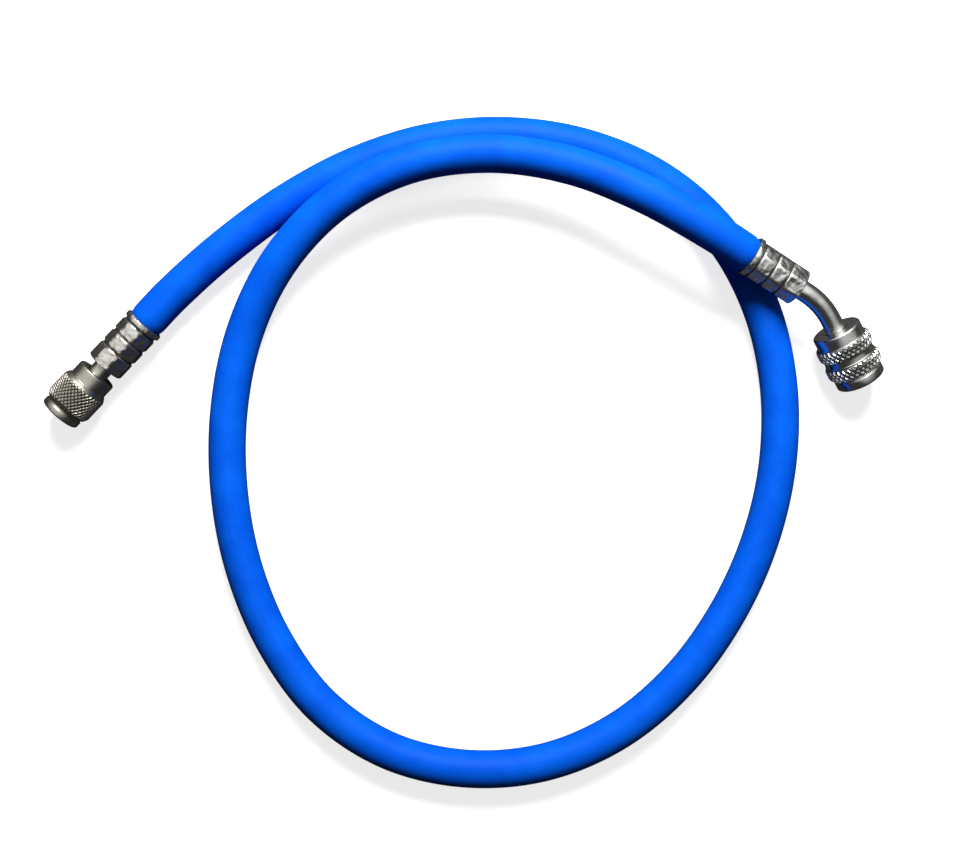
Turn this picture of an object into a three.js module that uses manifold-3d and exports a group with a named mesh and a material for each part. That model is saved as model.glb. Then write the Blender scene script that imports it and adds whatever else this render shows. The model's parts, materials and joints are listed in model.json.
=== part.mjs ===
// Refrigerant charging hose: a rubber hose that lies coiled on the floor, with a crimped fitting at each
// end. One fitting is straight and one is bent, and each carries a knurled nut that turns freely on it.
// Millimetres, +Z up, the floor at z = 0, the origin under the middle of the two fittings' box.

import * as THREE from 'three';
import { mergeVertices } from 'three/addons/utils/BufferGeometryUtils.js';
import Module from 'manifold-3d';

const wasm = await Module();
wasm.setup();

// Clearance between pieces that seat, slide or turn on each other
const gap = 0.3;

// Hose
const hoseRadius = 6;
const hoseBoreRadius = 2.5;
const hoseSides = 12;
const hoseBoreSides = 8;
const hoseSteps = 76;
const straightRun = 12;

// The crimp squeezes the hose a little at the ferrule's mouth and more further in.
const mouthSqueeze = 0.4;
const crimpSqueeze = 1.4;
const squeezeLead = 2;
const mouthHoseRadius = hoseRadius - mouthSqueeze;
const crimpedHoseRadius = hoseRadius - crimpSqueeze;

// Ferrule: the sleeve crimped on the hose by eight jaws, with a groove in front of each crimped band
const ferruleLength = 19;
const ferruleMouthDepth = 1.8;
const ferruleEndWall = 1.2;
const ferruleWall = 0.85;
const ferruleSides = 24;
const lipWall = 0.65;
const lipLength = 1.7;
const crimpJaws = 8;
const crimpCount = 3;
const crimpPitch = 5.15;
const crimpGrooveWidth = 0.6;
const crimpGrooveDepth = 0.55;
const crimpFlatDepth = 0.35;
const crimpRamp = 0.45;
const ferruleMouthRadius = mouthHoseRadius + gap;
const ferruleBoreRadius = crimpedHoseRadius + gap;
const lipRadius = ferruleMouthRadius + lipWall;
const crimpGrooveRadius = ferruleBoreRadius + ferruleWall;
const crimpRadius = crimpGrooveRadius + crimpGrooveDepth;
const crimpFlatDistance = crimpRadius - crimpFlatDepth;

// Stem: the metal tube from inside the hose to the seat inside the nut
const stemBoreRadius = 1.3;
const stemBoreSides = 8;
const stemSides = 16;
const barbDepth = 0.4;
const barbLength = 3;
const barbCount = 4;
const neckRadius = 3.25;
const neckExposed = 3.3;
const stemGrooveDepth = 0.55;
const stopFlangeHeight = 1.2;
const stopFlangeLength = 0.5;
const headLength = 2.5;
const stemOverlap = 1;
const barbRadius = hoseBoreRadius - gap;
const barbRootRadius = barbRadius - barbDepth;
const stemGrooveRadius = neckRadius - stemGrooveDepth;
const stopFlangeRadius = stemGrooveRadius + stopFlangeHeight;

// Bent stem: a stub, a bend and a second stub between the ferrule and the nut
const bendAngle = THREE.MathUtils.degToRad(27.5);
const bendRadius = 25;
const stubLength = 3.5;
const bendSteps = 10;

// Nuts, both with a seven-sixteenths inch socket, whose thread crests are at the chamber's radius
const nutSides = 32;
const nutChamberRadius = 5;
const nutMouthChamfer = 0.6;
const nutBackWall = 3.5;
const edgeChamfer = 0.4;
const nutMouthRadius = nutChamberRadius + nutMouthChamfer;
const headRadius = nutChamberRadius - gap;

const straightNutLength = 18;
const straightCollarLength = 4.6;
const straightCollarStep = 1.3;
const straightShoulder = 1;
const straightKnurlHeight = 1.1;
const straightRingLength = 2.8;
const straightRingWall = 1.1;
const straightRingRadius = nutMouthRadius + straightRingWall;
const straightNutRadius = straightRingRadius + straightKnurlHeight;
const straightCollarRadius = straightNutRadius - straightCollarStep;

const angledNutLength = 19;
const angledCollarLength = 3.9;
const angledCollarStep = 1.1;
const angledShoulder = 0.5;
const angledBandLength = 3.8;
const angledBandHeight = 1;
const angledWaistLength = 2.8;
const angledWaistDepth = 0.6;
const angledRingWall = 2.3;
const angledRingRadius = nutMouthRadius + angledRingWall;
const angledNutRadius = angledRingRadius + angledBandHeight;
const angledCollarRadius = angledNutRadius - angledCollarStep;
const angledWaistRadius = angledNutRadius - angledWaistDepth;

// Gasket and core depressor
const gasketBoreRadius = 2.3;
const gasketLength = 2.4;
const gasketSides = 24;
const gasketRadius = nutChamberRadius - gap;
const depressorArmWidth = 1.5;
const depressorPlate = 0.8;
const depressorPinRadius = 0.85;
const depressorSides = 12;
const depressorReach = gasketBoreRadius - gap;

// Where the middle of the hose enters each ferrule, and the way each fitting points
const straightMouth = { x: -58.5, y: 87.5 };
const angledMouth = { x: 87.9, y: -38.3, z: 19.2 };
const angledHeading = THREE.MathUtils.degToRad(-78);
const angledPitch = THREE.MathUtils.degToRad(9);

// The free hose, from the straight fitting round to the bent one. Its first turn lies on the floor and its
// end climbs on that turn, lies along its inner side and crosses it just before the bent fitting.
const freeRoute = [
  [-24.6, 85.8, 7.3], [0.8, 81.4, 6.3], [25.3, 73.2, 6.15], [47.8, 60.5, 6.05], [66.7, 43, 6.05],
  [81, 21.5, 6.05], [89.2, -2.9, 6.05], [89.6, -28.6, 6.05], [81.6, -53.1, 6.05], [67.3, -74.5, 6.05],
  [48.3, -92, 6.05], [26, -105, 6.05], [1.6, -113.3, 6.05], [-24, -116.6, 6.05], [-49.6, -113.7, 6.05],
  [-73.2, -103.5, 6.05], [-92.4, -86.3, 6.05], [-105.3, -64.1, 6.05], [-109.6, -38.7, 6.05],
  [-105.1, -13.4, 6.05], [-94.6, 10.2, 6.05], [-79.5, 31.1, 6.1], [-60.7, 48.8, 6.4], [-38.7, 62.1, 8.1],
  [-14.3, 68.9, 12], [11.2, 68.3, 15], [35.3, 59.6, 15.9], [55.4, 43.5, 16.2], [70, 22.3, 18.1],
  [79.1, -1.5, 21],
];

const mergeDistance = 1e-4;
const rollSteps = 40;
const lengthSamplesPerStep = 40;

const finishes = {
  rubber: { color: 0x0a5cf0, roughness: 0.45, metalness: 0 },
  nickel: { color: 0xb9b7ae, roughness: 0.3, metalness: 1 },
  seal: { color: 0x1a1a1c, roughness: 0.7, metalness: 0 },
  brass: { color: 0xc9a75a, roughness: 0.35, metalness: 1 },
};

// A solid of revolution about X from [x, radius] points: along the outside first, then back along the bore
function turned(outline, sides) {
  const points = [...outline, outline[0]].map(([x, radius]) => new THREE.Vector2(radius, x));
  return new THREE.LatheGeometry(points, sides).rotateZ(-Math.PI / 2);
}

// A closed geometry as a solid that can be cut and joined, and a solid as a geometry again
function toSolid(geometry, matrix = new THREE.Matrix4()) {
  const bare = geometry.clone().applyMatrix4(matrix);
  bare.deleteAttribute('normal');
  bare.deleteAttribute('uv');
  const merged = mergeVertices(bare, mergeDistance);
  return new wasm.Manifold(new wasm.Mesh({
    numProp: 3,
    vertProperties: new Float32Array(merged.attributes.position.array),
    triVerts: new Uint32Array(merged.index.array),
  }));
}

function toGeometry(solid) {
  const { vertProperties, triVerts } = solid.getMesh();
  const geometry = new THREE.BufferGeometry();
  geometry.setAttribute('position', new THREE.BufferAttribute(vertProperties, 3));
  geometry.setIndex(new THREE.BufferAttribute(triVerts, 1));
  geometry.computeVertexNormals();
  return geometry;
}

function piece(name, geometry, finish) {
  const mesh = new THREE.Mesh(geometry, new THREE.MeshStandardMaterial(finishes[finish]));
  mesh.name = name;
  return mesh;
}

// A circle's points, for the section of a rod or tube that is extruded along a path
function circle(radius, sides) {
  return Array.from({ length: sides }, (_, i) => {
    const angle = (2 * Math.PI * i) / sides;
    return new THREE.Vector2(radius * Math.cos(angle), radius * Math.sin(angle));
  });
}

function along(path, section, steps) {
  return new THREE.ExtrudeGeometry(section, { extrudePath: path, steps, bevelEnabled: false });
}

// Every fitting is drawn along its own +X, from the mouth of its ferrule at x = 0 towards its nut.
const hoseEnd = ferruleLength - ferruleEndWall - gap - stopFlangeLength - gap;
const stopFlangeStart = hoseEnd + gap;
const stemGrooveStart = stopFlangeStart + stopFlangeLength;
const neckStart = ferruleLength + gap;

function ferruleGeometry() {
  const outline = [[0, lipRadius - edgeChamfer], [edgeChamfer, lipRadius], [lipLength, lipRadius]];
  for (let i = 0; i < crimpCount; i += 1) {
    const start = lipLength + i * crimpPitch;
    const grooveStart = start + crimpRamp;
    const grooveEnd = grooveStart + crimpGrooveWidth;
    const bandEnd = i < crimpCount - 1 ? start + crimpPitch : ferruleLength - edgeChamfer;
    outline.push([grooveStart, crimpGrooveRadius], [grooveEnd, crimpGrooveRadius]);
    outline.push([grooveEnd + crimpRamp, crimpRadius], [bandEnd, crimpRadius]);
  }
  const innerEnd = ferruleLength - ferruleEndWall;
  const endHoleRadius = stemGrooveRadius + gap;
  outline.push(
    [ferruleLength, crimpRadius - edgeChamfer],
    [ferruleLength, endHoleRadius],
    [innerEnd, endHoleRadius],
    [innerEnd, ferruleBoreRadius],
    [ferruleMouthDepth, ferruleBoreRadius],
    [0, ferruleMouthRadius],
  );
  const sleeve = toSolid(turned(outline, ferruleSides));

  // The jaws press eight flats on the sleeve, one of them on top, and leave its round lip.
  const cornerDistance = crimpFlatDistance / Math.cos(Math.PI / crimpJaws);
  const jaws = new THREE.CylinderGeometry(cornerDistance, cornerDistance, 2 * ferruleLength, crimpJaws);
  jaws.rotateY(Math.PI / crimpJaws);
  const lip = new THREE.CylinderGeometry(2 * lipRadius, 2 * lipRadius, 2 * lipLength, crimpJaws);
  const turn = new THREE.Matrix4().makeRotationZ(-Math.PI / 2);
  return toGeometry(sleeve.intersect(toSolid(jaws, turn).add(toSolid(lip, turn))));
}

// The stem's tail: barbs inside the hose, a flange that stops it and a groove through the ferrule's end
function tailOutline() {
  const outline = [];
  for (let i = 0; i < barbCount; i += 1) {
    const tip = stopFlangeStart - (barbCount - i) * barbLength;
    outline.push([tip, barbRootRadius], [tip + barbLength - gap, barbRadius]);
  }
  outline.push(
    [stopFlangeStart, barbRadius],
    [stopFlangeStart, stopFlangeRadius],
    [stemGrooveStart, stopFlangeRadius],
    [stemGrooveStart, stemGrooveRadius],
  );
  return outline;
}

// The stem's head, measured from the back of its nut: the flange that holds the nut and seats the gasket
const headStart = nutBackWall + gap;
const gasketStart = headStart + headLength + gap;

function straightStemGeometry() {
  const nutBack = ferruleLength + neckExposed;
  const tail = tailOutline();
  const outline = [
    ...tail,
    [neckStart, stemGrooveRadius],
    [neckStart, neckRadius],
    [nutBack + headStart, neckRadius],
    [nutBack + headStart, headRadius],
    [nutBack + headStart + headLength, headRadius],
    [nutBack + headStart + headLength, stemBoreRadius],
    [tail[0][0], stemBoreRadius],
  ];
  return turned(outline, stemSides);
}

// The bend's two straight axes meet at its corner.
const bendTangent = bendRadius * Math.tan(bendAngle / 2);
const bendCorner = new THREE.Vector3(ferruleLength + stubLength + bendTangent, 0, 0);
const bentAxis = new THREE.Vector3(Math.cos(bendAngle), 0, -Math.sin(bendAngle));
const bentNutBack = bendCorner.clone().addScaledVector(bentAxis, bendTangent + stubLength);

function bentPath(startX, pastNutBack) {
  const start = new THREE.Vector3(startX, 0, 0);
  const bendStart = new THREE.Vector3(bendCorner.x - bendTangent, 0, 0);
  const bendEnd = bendCorner.clone().addScaledVector(bentAxis, bendTangent);
  const path = new THREE.CurvePath();
  path.add(new THREE.LineCurve3(start, bendStart));
  path.add(new THREE.QuadraticBezierCurve3(bendStart, bendCorner, bendEnd));
  path.add(new THREE.LineCurve3(bendEnd, bentNutBack.clone().addScaledVector(bentAxis, pastNutBack)));
  return path;
}

function bentStemGeometry() {
  const tail = tailOutline();
  const start = tail[0][0];
  const tailSolid = toSolid(turned([
    ...tail,
    [neckStart + stemOverlap, stemGrooveRadius],
    [neckStart + stemOverlap, 0],
    [start, 0],
  ], stemSides));
  const tubePath = bentPath(neckStart, headStart + headLength / 2);
  const tube = toSolid(along(tubePath, new THREE.Shape(circle(neckRadius, stemSides)), bendSteps));
  const headFrame = new THREE.Matrix4().makeRotationY(bendAngle).setPosition(bentNutBack);
  const headSolid = toSolid(turned([
    [headStart, headRadius],
    [headStart + headLength, headRadius],
    [headStart + headLength, 0],
    [headStart, 0],
  ], stemSides), headFrame);
  const borePath = bentPath(start - stemOverlap, headStart + headLength + stemOverlap);
  const boreSection = new THREE.Shape(circle(stemBoreRadius, stemBoreSides));
  const bore = toSolid(along(borePath, boreSection, 2 * bendSteps));
  return toGeometry(tailSolid.add(tube).add(headSolid).subtract(bore));
}

function gasketGeometry() {
  return turned([
    [gasketStart, gasketRadius],
    [gasketStart + gasketLength, gasketRadius],
    [gasketStart + gasketLength, gasketBoreRadius],
    [gasketStart, gasketBoreRadius],
  ], gasketSides);
}

// A crossbar that sits on the stem's head inside the gasket, with the pin that opens a service valve
function depressorGeometry() {
  const armLength = 2 * Math.sqrt(depressorReach ** 2 - (depressorArmWidth / 2) ** 2);
  const bar = new THREE.BoxGeometry(depressorPlate, armLength, depressorArmWidth);
  const barMiddle = gasketStart + depressorPlate / 2;
  bar.translate(barMiddle, 0, 0);
  const pinLength = gasketLength - depressorPlate / 2;
  const pin = new THREE.CylinderGeometry(depressorPinRadius, depressorPinRadius, pinLength, depressorSides);
  pin.rotateZ(-Math.PI / 2);
  pin.translate(barMiddle + pinLength / 2, 0, 0);
  return toGeometry(toSolid(bar).add(toSolid(pin)));
}

// The way back through a nut: its mouth, its threaded chamber and the hole that the neck passes through
function nutBoreOutline(length) {
  const neckHoleRadius = neckRadius + gap;
  return [
    [length, nutMouthRadius],
    [length - (nutMouthRadius - nutChamberRadius), nutChamberRadius],
    [nutBackWall, nutChamberRadius],
    [nutBackWall, neckHoleRadius],
    [0, neckHoleRadius],
  ];
}

function straightNutOutline() {
  const knurlEnd = straightNutLength - straightRingLength;
  return [
    [0, straightCollarRadius - edgeChamfer],
    [edgeChamfer, straightCollarRadius],
    [straightCollarLength, straightCollarRadius],
    [straightCollarLength + straightShoulder, straightNutRadius],
    [knurlEnd - straightShoulder, straightNutRadius],
    [knurlEnd, straightRingRadius],
    [straightNutLength - edgeChamfer, straightRingRadius],
    [straightNutLength, straightRingRadius - edgeChamfer],
  ];
}

function angledNutOutline() {
  const firstBand = angledCollarLength + angledShoulder;
  const waist = firstBand + angledBandLength;
  const secondBand = waist + angledWaistLength;
  const ring = secondBand + angledBandLength + angledShoulder;
  const bandChamfer = angledNutRadius - angledWaistRadius;
  return [
    [0, angledCollarRadius - edgeChamfer],
    [edgeChamfer, angledCollarRadius],
    [angledCollarLength, angledCollarRadius],
    [firstBand, angledNutRadius],
    [waist - bandChamfer, angledNutRadius],
    [waist, angledWaistRadius],
    [secondBand - bandChamfer, angledWaistRadius],
    [secondBand, angledNutRadius],
    [ring - angledShoulder, angledNutRadius],
    [ring, angledRingRadius],
    [angledNutLength - edgeChamfer, angledRingRadius],
    [angledNutLength, angledRingRadius - edgeChamfer],
  ];
}

function nutGeometry(outline, length) {
  return turned([...outline, ...nutBoreOutline(length)], nutSides);
}

// The straight fitting lies level, with its nut on the floor.
const straightEnd = new THREE.Group();
straightEnd.position.set(straightMouth.x, straightMouth.y, straightNutRadius);
straightEnd.rotation.z = Math.PI;
const straightHead = new THREE.Group();
straightHead.position.x = ferruleLength + neckExposed;
straightEnd.add(straightHead);
straightEnd.add(piece('ferrule_straight', ferruleGeometry(), 'nickel'));
straightEnd.add(piece('stem_straight', straightStemGeometry(), 'nickel'));
straightHead.add(piece('gasket_straight', gasketGeometry(), 'seal'));
straightHead.add(piece('nut_straight', nutGeometry(straightNutOutline(), straightNutLength), 'nickel'));

// The bent fitting comes off the top of the first turn.
const angledEnd = new THREE.Group();
angledEnd.position.set(angledMouth.x, angledMouth.y, angledMouth.z);
const angledHead = new THREE.Group();
angledHead.position.copy(bentNutBack);
angledHead.rotation.y = bendAngle;
angledEnd.add(angledHead);
angledEnd.add(piece('ferrule_angled', ferruleGeometry(), 'nickel'));
angledEnd.add(piece('stem_angled', bentStemGeometry(), 'nickel'));
angledHead.add(piece('gasket_angled', gasketGeometry(), 'seal'));
angledHead.add(piece('core_depressor', depressorGeometry(), 'brass'));
angledHead.add(piece('nut_angled', nutGeometry(angledNutOutline(), angledNutLength), 'nickel'));

// The height of the bent fitting's nut above the floor, with the fitting rolled about its ferrule
function angledNutHeight(roll) {
  angledEnd.rotation.set(roll, angledPitch, angledHeading, 'ZYX');
  angledEnd.updateMatrixWorld(true);
  const axis = new THREE.Vector3(1, 0, 0).transformDirection(angledHead.matrixWorld);
  const reach = Math.sqrt(1 - axis.z ** 2);
  const heights = angledNutOutline().map(([x, radius]) => {
    const centre = new THREE.Vector3(x, 0, 0).applyMatrix4(angledHead.matrixWorld);
    return centre.z - radius * reach;
  });
  return Math.min(...heights);
}

// It rolls from bending sideways towards bending down until the nut lies on the floor.
let level = -Math.PI / 2;
let down = 0;
for (let i = 0; i < rollSteps; i += 1) {
  const middle = (level + down) / 2;
  if (angledNutHeight(middle) > 0) level = middle;
  else down = middle;
}
angledNutHeight(level);
straightEnd.updateMatrixWorld(true);

// The hose runs straight out of each ferrule and is squeezed inside it.
const onAxis = (end, x) => new THREE.Vector3(x, 0, 0).applyMatrix4(end.matrixWorld);
const route = new THREE.CatmullRomCurve3([
  onAxis(straightEnd, hoseEnd), onAxis(straightEnd, 0), onAxis(straightEnd, -straightRun),
  ...freeRoute.map((point) => new THREE.Vector3(...point)),
  onAxis(angledEnd, -straightRun), onAxis(angledEnd, 0), onAxis(angledEnd, hoseEnd),
], false, 'centripetal');
route.arcLengthDivisions = lengthSamplesPerStep * hoseSteps;

// What the crimp takes off the outside of the hose's end
function squeezeRing(end) {
  const outside = hoseRadius + gap;
  return toSolid(turned([
    [-squeezeLead, outside],
    [ferruleLength, outside],
    [ferruleLength, crimpedHoseRadius],
    [ferruleMouthDepth, crimpedHoseRadius],
    [0, mouthHoseRadius],
    [-squeezeLead, hoseRadius],
  ], ferruleSides), end.matrixWorld);
}

function hoseGeometry() {
  const section = new THREE.Shape(circle(hoseRadius, hoseSides));
  section.holes.push(new THREE.Path(circle(hoseBoreRadius, hoseBoreSides)));
  const tube = toSolid(along(route, section, hoseSteps));
  return toGeometry(tube.subtract(squeezeRing(straightEnd)).subtract(squeezeRing(angledEnd)));
}

const chargingHose = new THREE.Group();
chargingHose.add(piece('hose', hoseGeometry(), 'rubber'));
chargingHose.add(straightEnd);
chargingHose.add(angledEnd);

export default chargingHose;
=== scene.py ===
# %% [markdown]
# # A coiled refrigerant charging hose
#
# The object is one rubber hose with a crimped metal fitting at each end: a straight one, and a bent one
# whose nut points down to the floor. The frame below brings its true sizes and places. This notebook makes
# the surfaces that the eye sees: smooth rubber, crimped sleeves, cut diamonds on the nuts and real threads.

# %% Load the frame
import json
import math

import bmesh
import bpy
from mathutils import Matrix, Vector, noise


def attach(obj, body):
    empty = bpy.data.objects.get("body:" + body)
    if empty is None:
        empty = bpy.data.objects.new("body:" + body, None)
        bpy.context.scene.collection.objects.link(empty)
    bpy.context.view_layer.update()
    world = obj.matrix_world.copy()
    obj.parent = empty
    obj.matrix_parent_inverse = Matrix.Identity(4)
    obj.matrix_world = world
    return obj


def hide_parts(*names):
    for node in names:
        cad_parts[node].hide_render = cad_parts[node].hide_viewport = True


MM = 0.001

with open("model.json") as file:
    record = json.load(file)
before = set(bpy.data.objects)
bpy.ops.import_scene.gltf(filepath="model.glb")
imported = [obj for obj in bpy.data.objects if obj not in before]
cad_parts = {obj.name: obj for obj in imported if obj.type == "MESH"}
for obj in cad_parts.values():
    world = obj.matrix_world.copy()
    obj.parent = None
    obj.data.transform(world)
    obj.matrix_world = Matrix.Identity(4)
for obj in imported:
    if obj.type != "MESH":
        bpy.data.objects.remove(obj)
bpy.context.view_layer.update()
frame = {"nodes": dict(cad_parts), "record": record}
print("frame:", sorted(frame["nodes"]))

# %% [markdown]
# ## The camera
#
# The picture was taken from straight above, with the coil turned a little in the frame. A camera that looks
# straight down needs only a place and a turn about the upright axis. The Standard view keeps the strong
# blue of the rubber, which a filmic view would wash out.

# %% Set the camera
camera_place = (-0.0084, -0.0133, 0.420)
camera_turn = math.radians(-46.715)
camera_lens = 48.02

camera = bpy.data.objects.new("camera", bpy.data.cameras.new("camera"))
bpy.context.scene.collection.objects.link(camera)
bpy.context.scene.camera = camera
camera.location = camera_place
camera.rotation_euler = (0, 0, camera_turn)
camera.data.sensor_width = 36
camera.data.lens = camera_lens
bpy.context.scene.view_settings.view_transform = "Standard"
print("camera", camera_place, "turned", round(math.degrees(camera_turn), 2), "degrees")

# %% [markdown]
# ## Sums on shader sockets
#
# A finish is a small sum: some noise, scaled, plus a mask. Wrapping a socket in a class that knows the
# signs of arithmetic lets the sum be written as one reads it, and adds the Math nodes behind it.


# %% A socket that can be used in sums
class Signal:
    """One output of a shader node, which can be added and multiplied."""

    def __init__(self, tree, socket=None):
        self.tree = tree
        self.socket = socket

    def node(self, kind, settings, inputs, output=0):
        """Add a node, its settings first and then each socket's value or link, and give one output."""
        made = self.tree.nodes.new(kind)
        for name, value in settings.items():
            setattr(made, name, value)
        for name, value in inputs.items():
            if isinstance(value, Signal):
                self.tree.links.new(value.socket, made.inputs[name])
            else:
                made.inputs[name].default_value = value
        return Signal(self.tree, made.outputs[output])

    def math(self, operation, first, second):
        return self.node("ShaderNodeMath", {"operation": operation}, {0: first, 1: second})

    def __add__(self, other):
        return self.math("ADD", self, other)

    def __mul__(self, other):
        return self.math("MULTIPLY", self, other)

    __radd__ = __add__
    __rmul__ = __mul__


def between(signal, low, high):
    """0 where the signal is at low, 1 where it is at high, and an even rise from one to the other."""
    sockets = {"Value": signal, "From Min": low, "From Max": high}
    return signal.node("ShaderNodeMapRange", {"clamp": True}, sockets)


def blended(factor, first, second):
    """The first colour where the factor is 0 and the second where it is 1."""
    return factor.node("ShaderNodeMix", {"data_type": "RGBA"}, {0: factor, 6: first, 7: second}, output=2)


def stretched(signal, scale):
    """The same coordinates, scaled along each axis."""
    return signal.node("ShaderNodeVectorMath", {"operation": "MULTIPLY"}, {0: signal, 1: scale})


def noisy(where, scale, detail=3.0, roughness=0.55):
    """Soft noise from 0 to 1, with about as many spots to one unit of the coordinates as the scale."""
    sockets = {"Vector": where, "Scale": scale, "Detail": detail, "Roughness": roughness}
    return where.node("ShaderNodeTexNoise", {}, sockets)


print("shader sums ready")

# %% [markdown]
# ## The floor and the light
#
# A pale sheet lies under the coil. The light is soft and comes from one side: a square lamp there, and
# nothing opposite it, so that the rubber falls to navy on its far flank and the metal has something dark
# to mirror. The sheet is white to the camera but nearly black to every other ray, which keeps its light
# from filling the dark flanks.

# %% Lay the floor
FLOOR_HALF_SIDE = 4
PAPER_SEEN = (0.80, 0.80, 0.80, 1)
PAPER_UNSEEN = (0.030, 0.029, 0.028, 1)
PAPER_GLOW = 0.78
BLACK = (0, 0, 0, 1)
WHITE = (1, 1, 1, 1)


def add_sheet():
    bm = bmesh.new()
    bmesh.ops.create_grid(bm, x_segments=1, y_segments=1, size=FLOOR_HALF_SIDE)
    mesh = bpy.data.meshes.new("floor")
    bm.to_mesh(mesh)
    bm.free()
    sheet = bpy.data.objects.new("floor", mesh)
    bpy.context.scene.collection.objects.link(sheet)
    return sheet


def pale_paper():
    """Paper that glows to the camera alone and lights nothing else much."""
    material = bpy.data.materials.new("pale_paper")
    material.use_nodes = True
    start = Signal(material.node_tree)
    seen = start.node("ShaderNodeLightPath", {}, {}, output="Is Camera Ray")
    shade = blended(seen, PAPER_UNSEEN, PAPER_SEEN)
    shader = material.node_tree.nodes["Principled BSDF"]
    shader.inputs["Roughness"].default_value = 0.9
    shader.inputs["Emission Strength"].default_value = PAPER_GLOW
    material.node_tree.links.new(shade.socket, shader.inputs["Base Color"])
    glow = blended(seen, BLACK, WHITE)
    material.node_tree.links.new(glow.socket, shader.inputs["Emission Color"])
    return material


floor = add_sheet()
floor.data.materials.append(pale_paper())
print("floor laid")

# %% Hang the lamp
WINDOW_PLACE = (0.40, 0.30, 0.50)
WINDOW_SIZE = 0.30
WINDOW_POWER = 8.6
WINDOW_COLOUR = (1.0, 0.99, 0.97)


def hang_lamp():
    """A square soft lamp to one side, which faces the coil."""
    lamp = bpy.data.objects.new("soft_window", bpy.data.lights.new("soft_window", "AREA"))
    bpy.context.scene.collection.objects.link(lamp)
    lamp.location = WINDOW_PLACE
    lamp.rotation_euler = (-Vector(WINDOW_PLACE)).to_track_quat("-Z", "Y").to_euler()
    lamp.data.size = WINDOW_SIZE
    lamp.data.energy = WINDOW_POWER
    lamp.data.color = WINDOW_COLOUR


hang_lamp()
print("lamp at", WINDOW_PLACE)

# %% [markdown]
# The room round the coil is bright overhead and dark low down. It is far brighter to a mirroring ray than
# to any other, so the metal shines while the rubber keeps its depth.

# %% Light the room
BRIGHT_SIDE = (0.33, 0.31, 0.89)
BRIGHT_FROM = 0.42
BRIGHT_FULLY = 0.86
ROOM_DARK = (0.035, 0.032, 0.029, 1)
ROOM_BRIGHT = (1.0, 1.0, 0.99, 1)
ROOM_FILL = 0.09
ROOM_MIRRORED = 1.15


def light_room():
    """A room that is bright overhead, mostly to what mirrors it, and dark low down."""
    world = bpy.data.worlds.new("room")
    bpy.context.scene.world = world
    world.use_nodes = True
    start = Signal(world.node_tree)
    direction = start.node("ShaderNodeTexCoord", {}, {}, output="Generated")
    towards = start.node(
        "ShaderNodeVectorMath", {"operation": "DOT_PRODUCT"}, {0: direction, 1: BRIGHT_SIDE}, output="Value"
    )
    sky = blended(between(towards, BRIGHT_FROM, BRIGHT_FULLY), ROOM_DARK, ROOM_BRIGHT)
    mirrored = start.node("ShaderNodeLightPath", {}, {}, output="Is Glossy Ray")
    background = world.node_tree.nodes["Background"]
    strength = ROOM_FILL + mirrored * ROOM_MIRRORED
    world.node_tree.links.new(strength.socket, background.inputs["Strength"])
    world.node_tree.links.new(sky.socket, background.inputs["Color"])


light_room()
print("room lit")

# %% [markdown]
# ## The finishes
#
# Every pattern reads one attribute, called bench: a point's place in millimetres on the piece as it lay
# straight on the maker's bench, with X along it. Lathe lines and the hose's long streaks then follow the
# piece wherever it lies or turns. A second attribute, pit, is 1 at the bottom of a cut and marks painted
# shade.


# %% Start a finish
def start_finish(name, **constants):
    """A material whose even values are set, its shader, and a signal to build on."""
    material = bpy.data.materials.new(name)
    material.use_nodes = True
    shader = material.node_tree.nodes["Principled BSDF"]
    for socket, value in constants.items():
        shader.inputs[socket.replace("_", " ")].default_value = value
    return material, shader, Signal(material.node_tree)


def read_attribute(start, name, output):
    return start.node("ShaderNodeAttribute", {"attribute_name": name}, {}, output=output)


def drive(shader, **signals):
    """Link signals to the shader's sockets."""
    for socket, signal in signals.items():
        signal.tree.links.new(signal.socket, shader.inputs[socket.replace("_", " ")])


def raised(height, strength, depth):
    """A bump from a height between 0 and 1, whose full depth is given in millimetres."""
    sockets = {"Height": height, "Strength": strength, "Distance": depth * MM}
    return height.node("ShaderNodeBump", {}, sockets)


print("finishes can start")

# %% [markdown]
# ### Blue rubber
#
# The cover is pressed out of a round die, so its fine streaks run along it. Handling leaves faint
# lighter rubs and a slightly uneven sheen. The colour comes almost wholly from the dye, so its variation is
# small: a deeper and a fresher blue in soft clouds.

# %% Mix the rubber
DEEP_BLUE = (0.0005, 0.104, 0.80, 1)
FRESH_BLUE = (0.001, 0.138, 0.92, 1)
RUBBED_BLUE = (0.05, 0.24, 0.95, 1)
STREAKED_BLUE = (0.0, 0.060, 0.58, 1)


def blue_rubber():
    material, shader, start = start_finish("blue_rubber", Specular_IOR_Level=0.06)
    bench = read_attribute(start, "bench", "Vector")
    clouds = noisy(bench, 0.09, detail=4)
    streaks = noisy(stretched(bench, (0.015, 1.0, 1.0)), 2.2, detail=4)
    handled = noisy(stretched(bench, (0.25, 1.0, 1.0)), 0.55, detail=6, roughness=0.7)
    rubs = between(handled, 0.60, 0.74)
    grain = noisy(bench, 5.0, detail=2)
    dye = blended(between(clouds, 0.35, 0.65), DEEP_BLUE, FRESH_BLUE)
    worn = blended(rubs * 0.10, dye, RUBBED_BLUE)
    colour = blended(between(streaks, 0.30, 0.75) * 0.14, worn, STREAKED_BLUE)
    sheen = 0.50 + between(clouds, 0.3, 0.7) * 0.08 + rubs * 0.10
    skin = grain * 0.45 + streaks * 0.55
    drive(shader, Base_Color=colour, Roughness=sheen, Normal=raised(skin, 0.35, 0.03))
    return material


RUBBER = blue_rubber()
print("rubber:", len(RUBBER.node_tree.nodes), "nodes")
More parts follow.
